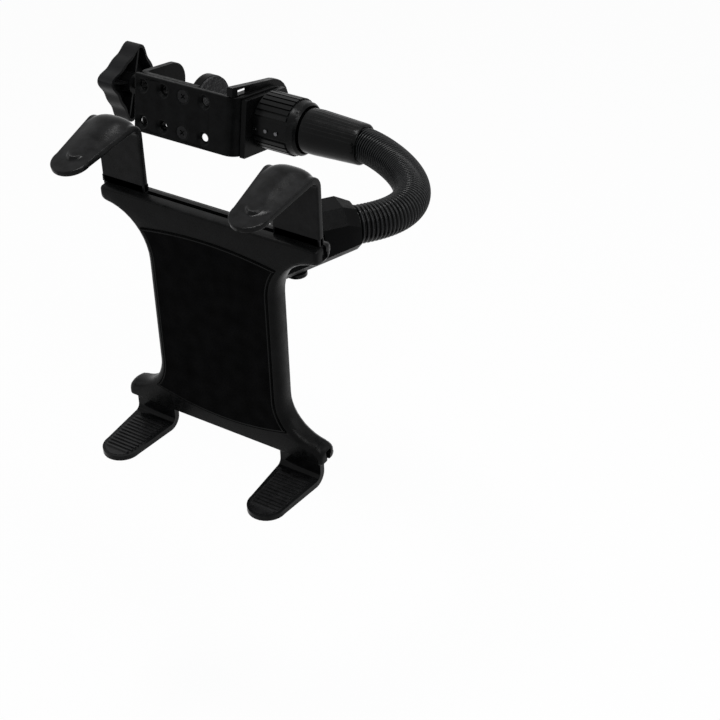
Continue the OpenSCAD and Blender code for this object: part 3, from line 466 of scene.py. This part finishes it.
class HookShape:
    """The bent, tapering plate of a hook, in its own frame: the rail's face is at height 0.

    A place on it is x, across, and s, the distance from its foot along its middle line."""
    bend = 6 * MM             # radius of the bend's middle line
    low = 0.3 * MM            # clearance between plate and rail
    square_foot = 5 * MM      # keeps the rounded edge off the plate's foot
    # The pillow's place, then shares of its length
    pillow_start = 0.60       # share of the upright plate that it leaves free
    pillow_stop = 9.5 * MM    # left free before the tip
    opens_over = 0.13         # its start rises in a quarter round
    soft_from, soft_over = 0.32, 0.25
    peak = 0.33
    before_peak, after_peak = 0.36, 0.66
    least = 0.20              # share of the crown that is left far from the peak
    # Its section: share of the half width, and the two powers that round it off
    crisp = (0.74, 2.6, 0.8)
    soft = (0.97, 2.0, 1.6)
    # Its end and the lip across it, in mm: bow is the setback for each square mm of x
    end_bow, end_run = 0.055, 5.0
    lip_bow, lip_back, lip_rise, lip_half = 0.17, 2.6, 1.3, 3.9

    def __init__(self, sizes):
        self.half = sizes.width / 2
        self.height = sizes.height
        self.thick = sizes.thickness
        self.tip = sizes.tip_radius
        self.crown = sizes.crown
        self.turn = math.radians(90) + sizes.droop
        self.plate_l = self.height - self.bend - self.low
        self.bend_l = self.bend * self.turn
        self.tongue_l = sizes.reach - self.bend
        self.total = self.plate_l + self.bend_l + self.tongue_l
        self.tip_y = self.tip - sizes.reach
        self.side = math.asin((self.half - self.tip) / (sizes.reach - self.tip - self.bend))

    def at(self, s):
        """Point (y, z) and heading on the plate's middle line"""
        if s <= self.plate_l:
            return (0.0, self.low + s), (0.0, 1.0)
        a = min((s - self.plate_l) / self.bend, self.turn)
        run = max(0.0, s - self.plate_l - self.bend_l)
        ahead = (-math.sin(a), math.cos(a))
        return ((-self.bend + self.bend * math.cos(a) + ahead[0] * run,
                 self.height - self.bend + self.bend * math.sin(a) + ahead[1] * run), ahead)

    def half_width(self, y):
        """Half of the plate's width: full as far as the bend, then tapering to the round tip"""
        if y >= -self.bend:
            return self.half
        tip_start = self.tip_y + self.tip * math.sin(self.side)
        if y >= tip_start:
            share = (-self.bend - y) / (-self.bend - tip_start)
            return self.half + (self.tip * math.cos(self.side) - self.half) * share
        return math.sqrt(max(0.0, self.tip ** 2 - (y - self.tip_y) ** 2))

    def edge_distance(self, x, y, s):
        """How far a place lies inside the plate's outline"""
        side = self.half_width(y) - abs(x)
        if y < self.tip_y:
            side = min(side, self.tip - math.hypot(x, y - self.tip_y))
        return max(0.0, min(side, s + self.square_foot))

    def pillow(self, x, s):
        """Rise of the crowned pillow: crisp over the bend, soft along the tongue, with its lip"""
        start = self.plate_l * self.pillow_start
        stop = self.total - self.pillow_stop
        u = (s - start) / (stop - start)
        if u <= 0:
            return 0.0
        y = self.at(min(s, self.total))[0][0]
        blend = smooth((u - self.soft_from) / self.soft_over)
        (crisp_span, crisp_in, crisp_out), (soft_span, soft_in, soft_out) = self.crisp, self.soft
        span = self.half * crisp_span * (1 - blend) + self.half_width(y) * soft_span * blend
        v = min(1.0, abs(x) / max(span, 1e-6))
        section = ((1 - v ** crisp_in) ** crisp_out * (1 - blend)
                   + (1 - v ** soft_in) ** soft_out * blend)
        fall = self.after_peak if u > self.peak else self.before_peak
        rise = self.crown * (
            self.least + (1 - self.least) * smooth(1 - abs(u - self.peak) / fall))
        opening = math.sqrt(max(0.0, 1 - (1 - min(1.0, u / self.opens_over)) ** 2))
        x_mm, left_mm = x / MM, (stop - s) / MM
        closing = smooth((left_mm - self.end_bow * x_mm ** 2) / self.end_run)
        off_lip = left_mm - self.lip_bow * x_mm ** 2 - self.lip_back
        lip = self.lip_rise * MM * math.exp(-off_lip ** 2 - (x_mm / self.lip_half) ** 4)
        return rise * opening * section * closing + lip


def hook_mesh(shape, place):
    """A hook as one closed surface, with the bar that slides in the rail"""
    mesh = bmesh.new()
    rows, columns = 150, 56
    crowding = 1.25           # rows lie closer together towards the tip
    thinning = 0.8 * MM       # of the tongue, from the bend to the tip
    narrowest = 0.25 * MM     # half width of the last row
    edge_r = 0.9 * MM
    top, bottom = [], []
    for i in range(rows + 1):
        s = shape.total * (1 - (1 - i / rows) ** crowding)
        (y, z), ahead = shape.at(s)
        out = (ahead[1], -ahead[0])
        taper = max(0.0, (s - shape.plate_l - shape.bend_l) / shape.tongue_l)
        thick = (shape.thick - thinning * taper) / 2
        half = max(shape.half_width(y), narrowest)
        over, under = [], []
        for j in range(columns + 1):
            x = half * math.sin(math.pi * (j / columns - 0.5))
            away = min(shape.edge_distance(x, y, s), edge_r)
            fall = thick - edge_r + math.sqrt(max(0.0, edge_r ** 2 - (edge_r - away) ** 2))
            lift = fall + shape.pillow(x, s)
            over.append(mesh.verts.new(place @ Vector((x, y + out[0] * lift, z + out[1] * lift))))
            under.append(mesh.verts.new(place @ Vector((x, y - out[0] * fall, z - out[1] * fall))))
        top.append(over)
        bottom.append(under)
    grid_faces(mesh, top, flip=True)
    grid_faces(mesh, bottom)
    for j in (0, -1):
        grid_faces(mesh, [[a[j], b[j]] for a, b in zip(top, bottom)], flip=j == -1)
    for i in (0, -1):
        grid_faces(mesh, [top[i], bottom[i]], flip=i == -1)
    root = (
        (2.0 * MM, shape.low, 4.3 * MM),      # foot of the plate, on the rail
        (1.3 * MM, -4.31 * MM, 0.31 * MM),    # web through the rail's slot
        (BAR_HALF, -BAR_DROP, -4.3 * MM))     # bar inside the rail
    for deep, low, high in root:
        add_block(mesh, (-shape.half, -deep, low), (shape.half, deep, high), place)
    bmesh.ops.recalc_face_normals(mesh, faces=mesh.faces)
    for face in mesh.faces:
        face.smooth = True
    return mesh


class HOLDER_OT_hooks(bpy.types.Operator):
    """Builds the two crowned hooks that hold the tablet's top edge"""
    bl_idname = "holder.hooks"
    bl_label = "Hooks"

    def execute(self, context):
        shape = HookShape(settings().claws)
        for side in ("left", "right"):
            low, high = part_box("hook_" + side)
            middle = (low.x + high.x) / 2
            rail = low.z + BAR_DROP
            plate_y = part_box("foot_" + side)[1].y - BAR_HALF
            place = Matrix.Translation((middle, plate_y, rail))
            made = piece_from("hook_" + side + "_crowned", hook_mesh(shape, place), claw_finish(),
                              side + "_hook")
            split_corners(made, corner=48)
            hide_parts("hook_" + side)
        return {"FINISHED"}


class HOLDER_OT_feet(bpy.types.Operator):
    """Finishes the two feet and their ribbed grips"""
    bl_idname = "holder.feet"
    bl_label = "Feet and Grips"

    def execute(self, context):
        for side in ("left", "right"):
            dress("foot_" + side, claw_finish(), width=0.6 * MM, corner=40)
            dress("foot_grip_" + side, grip_finish(), width=0.2 * MM, corner=40, segments=2)
        return {"FINISHED"}


# Cradle and knuckle

def front_outline(piece):
    """Points round a flat piece's front face, with the face on their left seen from the front"""
    mesh = bmesh.new()
    mesh.from_mesh(piece.data)
    bmesh.ops.remove_doubles(mesh, verts=mesh.verts, dist=1e-6)
    front = min(v.co.y for v in mesh.verts) + 0.01 * MM
    faces = {f for f in mesh.faces if all(v.co.y < front for v in f.verts)}
    edges = {e for e in mesh.edges if sum(f in faces for f in e.link_faces) == 1}
    here = min(edges, key=lambda e: e.index).verts[0]
    points = []
    while edges:
        step = next((e for e in here.link_edges if e in edges), None)
        if step is None:
            break
        edges.discard(step)
        points.append(here.co.copy())
        here = step.other_vert(here)
    mesh.free()
    area = sum(a.x * b.z - b.x * a.z for a, b in zip(points, points[1:] + points[:1]))
    return points if area > 0 else points[::-1]


class HOLDER_OT_cradle(bpy.types.Operator):
    """Finishes the cradle's frame, back cover and pad"""
    bl_idname = "holder.cradle"
    bl_label = "Cradle"

    def execute(self, context):
        dress("front_frame", cradle_finish(), width=0.5 * MM, corner=42)
        dress("rear_cover", cradle_finish(), corner=42)
        dress("front_pad", pad_finish(), width=0.3 * MM)
        for node in ("cover_screws", "pivot_washer", "pivot_screw"):
            dress(node, dark_steel_finish(), width=0.2 * MM, segments=2)
        self.edge_line()
        return {"FINISHED"}

    def edge_line(self):
        """A fine raised line that follows the pad's edge, just inside it"""
        outline = front_outline(nodes["front_pad"])
        # How far each corner of the line's section lies inside the edge and behind the face, in mm
        section = ((0.8, 0.1), (1.0, -0.2), (1.5, -0.2), (1.7, 0.1))
        mesh = bmesh.new()
        loops = []
        for i, point in enumerate(outline):
            ahead = (outline[(i + 1) % len(outline)] - outline[i - 1]).normalized()
            inward = Vector((-ahead.z, 0, ahead.x))
            loops.append([mesh.verts.new(point + inward * inset * MM + Vector((0, depth * MM, 0)))
                          for inset, depth in section])
        grid_faces(mesh, loops + [loops[0]], closed=True)
        bmesh.ops.recalc_face_normals(mesh, faces=mesh.faces)
        piece_from("pad_edge_line", mesh, cradle_finish(), "cradle")


class HOLDER_OT_knuckle(bpy.types.Operator):
    """Finishes the bracket behind the cradle, the socket and the pivot bolt"""
    bl_idname = "holder.knuckle"
    bl_label = "Knuckle"

    def execute(self, context):
        dress("rear_bracket", knuckle_finish(), width=0.8 * MM, corner=30)
        dress("socket", socket_finish(), width=1.2 * MM, corner=20)
        for node in ("pivot_bolt", "pivot_nut"):
            dress(node, dark_steel_finish())
        return {"FINISHED"}


# Neck

# Its route in mm, with the values of the part's source
SOCKET_HEADING = math.radians(35.5)
BOLT_AT = Vector((20.5, 57.5, 38))
SOCKET_LENGTH = 37
SOCKET_DIP = Vector((0, 0, -0.08))
SOCKET_PULL = 73
SLEEVE_MOUTH = Vector((-18, 195, 28))
SLEEVE_LEAVE = Vector((0.99, -0.14, 0))
SLEEVE_PULL = 20
NECK_SEAT = 16

# One ring, from groove to groove, as shares of the pitch and of the groove's depth
RING = ((0.0, 1.0), (0.18, 0.98), (0.27, 0.64), (0.36, 0.24), (0.46, 0.05),
        (0.57, 0.0), (0.68, 0.05), (0.78, 0.26), (0.88, 0.68))
RINGS_START = NECK_SEAT * MM - 2 * MM  # from each end of the neck


def neck_route():
    """The neck's middle line, from seat to seat: the distance of each point, and the points"""
    heading = Vector((math.sin(SOCKET_HEADING), math.cos(SOCKET_HEADING), 0))
    rim = BOLT_AT + heading * SOCKET_LENGTH
    first = rim + (heading + SOCKET_DIP) * SOCKET_PULL
    second = SLEEVE_MOUTH + SLEEVE_LEAVE * SLEEVE_PULL
    points = [rim - heading * i for i in range(NECK_SEAT, 0, -1)]
    steps = 240
    for i in range(steps + 1):
        t = i / steps
        k = 1 - t
        points.append(k ** 3 * rim + 3 * k * k * t * first + 3 * k * t * t * second
                      + t ** 3 * SLEEVE_MOUTH)
    points += [SLEEVE_MOUTH - Vector((i, 0, 0)) for i in range(1, NECK_SEAT + 1)]
    points = [p * MM for p in points]
    run = [0.0]
    for a, b in zip(points, points[1:]):
        run.append(run[-1] + (b - a).length)
    return run, points


def along(run, points, s):
    """Point of the route at distance s"""
    s = min(max(s, 0.0), run[-1])
    low = min(bisect_right(run, s), len(run) - 1) - 1
    share = (s - run[low]) / (run[low + 1] - run[low])
    return points[low].lerp(points[low + 1], share)


def neck_stations(sizes, total):
    """Distance and radius of each loop of the neck: out along the rings and back inside"""
    outer = sizes.diameter / 2
    plain = outer - sizes.groove
    ribbed = total - 2 * RINGS_START
    rings = round(ribbed / sizes.pitch)
    pitch = ribbed / rings
    stations = [(0.0, plain)]
    for k in range(rings):
        stations += [(RINGS_START + (k + f) * pitch, outer - sizes.groove * d) for f, d in RING]
    stations += [(RINGS_START + ribbed, plain), (total, plain)]
    bore_steps = 60
    return stations + [(total * k / bore_steps, sizes.inner / 2) for k in range(bore_steps, -1, -1)]


class HOLDER_OT_neck(bpy.types.Operator):
    """Sweeps the corrugated neck from the socket to the sleeve"""
    bl_idname = "holder.neck"
    bl_label = "Flexible Neck"

    def execute(self, context):
        sizes = settings().neck
        run, points = neck_route()
        turns = [2 * math.pi * j / sizes.sides for j in range(sizes.sides)]
        near = 3 * MM  # the heading is taken over this much on either side
        mesh = bmesh.new()
        loops = []
        for s, radius in neck_stations(sizes, run[-1]):
            centre = along(run, points, s)
            ahead = (along(run, points, s + near) - along(run, points, s - near)).normalized()
            across = Vector((0, 0, 1)).cross(ahead).normalized()
            up = ahead.cross(across)
            loops.append([mesh.verts.new(
                centre + radius * (math.cos(a) * across + math.sin(a) * up)) for a in turns])
        grid_faces(mesh, loops + [loops[0]], closed=True)
        bmesh.ops.recalc_face_normals(mesh, faces=mesh.faces)
        for face in mesh.faces:
            face.smooth = True
        made = piece_from("corrugated_neck", mesh, neck_finish(), "arm")
        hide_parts("neck_cover")
        dress("neck_core", dark_steel_finish(), width=0.0)
        return {"FINISHED"}


# Sleeve and collar

class HOLDER_OT_sleeve(bpy.types.Operator):
    """Finishes the sleeve, with fine drawn flutes on its upper half, and the ribbed collar"""
    bl_idname = "holder.sleeve"
    bl_label = "Sleeve and Collar"

    def execute(self, context):
        dress("arm_sleeve", sleeve_finish(), corner=40)
        dress("hub_screw", bright_steel_finish(), width=0.2 * MM)
        dress("collar", collar_finish(), width=0.35 * MM)
        dress("collar_studs", stud_finish(), width=0.5 * MM)
        self.flutes()
        return {"FINISHED"}

    def flutes(self):
        """Thin raised lines along the sleeve, close to its surface"""
        count, first, apart = 13, -66, 11  # degrees from the top
        # Along the sleeve in mm: place, the sleeve's radius and the flute's rise
        stations = ((-58.5, 15.5, 0.04), (-54, 15.5, 0.22), (-20.2, 14.08, 0.05))
        sunk = -0.1
        mesh = bmesh.new()
        for k in range(count):
            turn = math.radians(first + apart * k)
            rows = []
            for x, radius, rise in stations:
                ring = []
                for offset, height in ((-0.55, sunk), (-0.2, rise), (0.2, rise), (0.55, sunk)):
                    a = turn + offset / radius
                    r = radius + height
                    ring.append(mesh.verts.new(
                        ARM_AXIS + Vector((x, r * math.sin(a), r * math.cos(a))) * MM))
                rows.append(ring)
            band_faces(mesh, rows)
        bmesh.ops.recalc_face_normals(mesh, faces=mesh.faces)
        made = piece_from("sleeve_flutes", mesh, sleeve_finish(), "arm")
        soften(made, width=0.0, corner=50)


# Clamp

class HOLDER_OT_clamp(bpy.types.Operator):
    """Finishes the brackets, jaw, swivel and pressure pad"""
    bl_idname = "holder.clamp"
    bl_label = "Clamp"

    def execute(self, context):
        for node in ("outer_bracket", "inner_bracket"):
            dress(node, bracket_finish(), width=0.7 * MM, corner=32)
        for node in ("swivel_base", "fixed_jaw", "pressure_plate"):
            dress(node, knuckle_finish(), width=0.5 * MM)
        for node in ("jaw_facing", "pressure_facing"):
            dress(node, facing_finish())
        for node in ("bracket_screws", "base_screws"):
            dress(node, dark_steel_finish(), width=0.15 * MM, segments=2)
        for node in ("bracket_nuts", "thread_bush"):
            dress(node, bright_steel_finish(), width=0.3 * MM)
        return {"FINISHED"}


def thread_mesh(start, stop, radius, pitch, depth, place):
    """A helical thread as a closed band that lies on a rod along X"""
    mesh = bmesh.new()
    sides = 28
    steps = int((stop - start) / pitch * sides)
    sunk = -0.15 * MM
    rows = []
    for i in range(steps + 1):
        a = 2 * math.pi * i / sides
        x = start + pitch * i / sides
        rise = depth * min(1.0, min(i, steps - i) / sides)
        ring = []
        for offset, height in ((-0.46, sunk), (-0.1, rise), (0.1, rise), (0.46, sunk)):
            r = radius + height
            ring.append(mesh.verts.new(
                place @ Vector((x + offset * pitch, r * math.cos(a), r * math.sin(a)))))
        rows.append(ring)
    band_faces(mesh, rows)
    bmesh.ops.recalc_face_normals(mesh, faces=mesh.faces)
    return mesh


class HOLDER_OT_screw(bpy.types.Operator):
    """Finishes the clamp screw with its thread, and the knob"""
    bl_idname = "holder.screw"
    bl_label = "Screw and Knob"

    def execute(self, context):
        dress("clamp_screw", dark_steel_finish(), width=0.3 * MM)
        dress("knob", knob_finish(), width=0.6 * MM, corner=32)
        low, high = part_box("clamp_screw")
        plain = 10 * MM  # at each end of the rod
        lean = Matrix.Rotation(math.radians(-10), 4, "X")
        thread = thread_mesh(low.x + plain, high.x - plain, radius=3.75 * MM, pitch=2 * MM,
                             depth=0.28 * MM, place=Matrix.Translation(ARM_AXIS) @ lean)
        made = piece_from("screw_thread", thread, dark_steel_finish(),
                          "screw_and_knob")
        soften(made, width=0.0, corner=30)
        return {"FINISHED"}


# Stage

AIM = Vector((-0.02, 0.09, 0.0))  # the middle of the holder, which every lamp faces

# Place, width and height of each lamp, and the setting with its power
LAMPS = {
    "top softbox": ((-0.25, 0.10, 1.15), 0.30, 0.30, "key"),
    "top fill": ((0.10, 0.30, 1.30), 1.3, 1.0, "fill"),
    "left softbox": ((-1.25, -0.55, 0.55), 0.8, 0.9, "side"),
    "right softbox": ((1.05, 0.75, 0.65), 0.7, 0.9, "side"),
    "strip light": ((0.60, -0.10, 1.00), 0.22, 0.9, "strip"),
}


def seen_directly(tree):
    """1 where the camera, a reflection or glass looks straight at the surface"""
    path = add(tree, "ShaderNodeLightPath")
    share = path.outputs["Is Camera Ray"]
    for ray in ("Is Glossy Ray", "Is Transmission Ray"):
        both = add(tree, "ShaderNodeMath", operation="MAXIMUM")
        tree.links.new(share, both.inputs[0])
        tree.links.new(path.outputs[ray], both.inputs[1])
        share = both.outputs[0]
    return share


def show_between(tree, share, first, second, output):
    """Leads a blend of two shaders to the tree's output"""
    blend = add(tree, "ShaderNodeMixShader")
    for source, socket in zip((share, first, second), blend.inputs):
        tree.links.new(source, socket)
    tree.links.new(blend.outputs[0], tree.nodes[output].inputs["Surface"])


def floor_finish():
    """Pale paint that keeps shadows and shows nearly white to the camera"""
    made = bpy.data.materials.new("pale floor")
    made.use_nodes = True
    tree = made.node_tree
    paint = tree.nodes["Principled BSDF"]
    paint.inputs["Base Color"].default_value = (0.86, 0.86, 0.86, 1)
    paint.inputs["Roughness"].default_value = 0.9
    paint.inputs["Specular IOR Level"].default_value = 0.1
    white = add(tree, "ShaderNodeEmission")
    white.inputs["Strength"].default_value = 1.0
    share = add(tree, "ShaderNodeMath", operation="MULTIPLY")
    tree.links.new(seen_directly(tree), share.inputs[0])
    share.inputs[1].default_value = 0.955
    show_between(tree, share.outputs[0], paint.outputs[0], white.outputs[0], "Material Output")
    return made


class HOLDER_OT_stage(bpy.types.Operator):
    """Sets the floor, the lights, the world and the camera"""
    bl_idname = "holder.stage"
    bl_label = "Stage"

    def execute(self, context):
        values = settings().stage
        self.floor(values)
        self.world(values)
        self.lamps(values)
        self.camera(values)
        context.scene.view_settings.view_transform = "Standard"
        return {"FINISHED"}

    def floor(self, values):
        """A square floor below the reach of the swinging arm"""
        level = cad_box[0][2] - values.drop
        steps = 8
        marks = [values.floor * (i / steps - 0.5) for i in range(steps + 1)]
        mesh = bmesh.new()
        grid_faces(mesh, [[mesh.verts.new((x, y, level)) for x in marks] for y in marks])
        made = placed("floor", data_from("floor", mesh))
        made.data.materials.append(floor_finish())

    def world(self, values):
        """A dim room for the light, white where it is seen"""
        world = bpy.data.worlds.new("pale room")
        bpy.context.scene.world = world
        world.use_nodes = True
        tree = world.node_tree
        room = tree.nodes["Background"]
        room.inputs["Color"].default_value = (0.9, 0.93, 1.0, 1)
        room.inputs["Strength"].default_value = values.world
        white = add(tree, "ShaderNodeBackground")
        white.inputs["Color"].default_value = (1, 1, 1, 1)
        white.inputs["Strength"].default_value = 1.0
        show_between(tree, seen_directly(tree), room.outputs[0], white.outputs[0], "World Output")

    def lamps(self, values):
        """Soft lamps round the holder"""
        for name, (at, width, height, setting) in LAMPS.items():
            data = bpy.data.lights.new(name, "AREA")
            data.shape = "RECTANGLE"
            data.size = width
            data.size_y = height
            data.energy = getattr(values, setting)
            made = placed(name, data)
            made.location = at
            made.rotation_euler = (AIM - Vector(at)).to_track_quat("-Z", "Y").to_euler()

    def camera(self, values):
        """The photograph's view"""
        data = bpy.data.cameras.new("camera")
        data.lens = values.lens
        data.sensor_width = 36.0
        data.clip_end = 30.0
        made = placed("camera", data)
        right = (0.84528, 0.53391, -0.02127)
        up = (-0.29096, 0.49330, 0.81975)
        back = (0.44817, -0.68673, 0.57232)
        place = (0.4771, -0.5759, 0.4943)
        made.matrix_world = Matrix(((*right, 0), (*up, 0), (*back, 0), (*place, 1))).transposed()
        bpy.context.scene.camera = made


class HOLDER_PT_pieces(bpy.types.Panel):
    """Lists the holder's pieces, its stage and their settings"""
    bl_label = "Tablet Holder"
    bl_idname = "HOLDER_PT_pieces"
    bl_space_type = "VIEW_3D"
    bl_region_type = "UI"
    bl_category = "Tablet Holder"

    def draw(self, context):
        for operator in OPERATORS:
            self.layout.operator(operator.bl_idname)
        for group in ("finishes", "neck", "claws", "stage"):
            box = self.layout.box()
            box.label(text=group.title())
            values = getattr(settings(), group)
            for name in values.__annotations__:
                box.prop(values, name)


OPERATORS = (
    HOLDER_OT_stage, HOLDER_OT_cradle, HOLDER_OT_hooks, HOLDER_OT_feet, HOLDER_OT_knuckle,
    HOLDER_OT_neck, HOLDER_OT_sleeve, HOLDER_OT_clamp, HOLDER_OT_screw)
GROUPS = (HolderFinishes, HolderNeck, HolderClaws, HolderStage, HolderSettings)


def register():
    for one in GROUPS + OPERATORS + (HOLDER_PT_pieces,):
        bpy.utils.register_class(one)
    bpy.types.Scene.tablet_holder = PointerProperty(type=HolderSettings)


def unregister():
    del bpy.types.Scene.tablet_holder
    for one in reversed(GROUPS + OPERATORS + (HOLDER_PT_pieces,)):
        bpy.utils.unregister_class(one)


def main():
    register()
    bpy.ops.holder.stage()
    bpy.ops.holder.cradle()
    bpy.ops.holder.hooks()
    bpy.ops.holder.feet()
    bpy.ops.holder.knuckle()
    bpy.ops.holder.neck()
    bpy.ops.holder.sleeve()
    bpy.ops.holder.clamp()
    bpy.ops.holder.screw()
    bpy.context.view_layer.update()


if __name__ == "__main__":
    main()
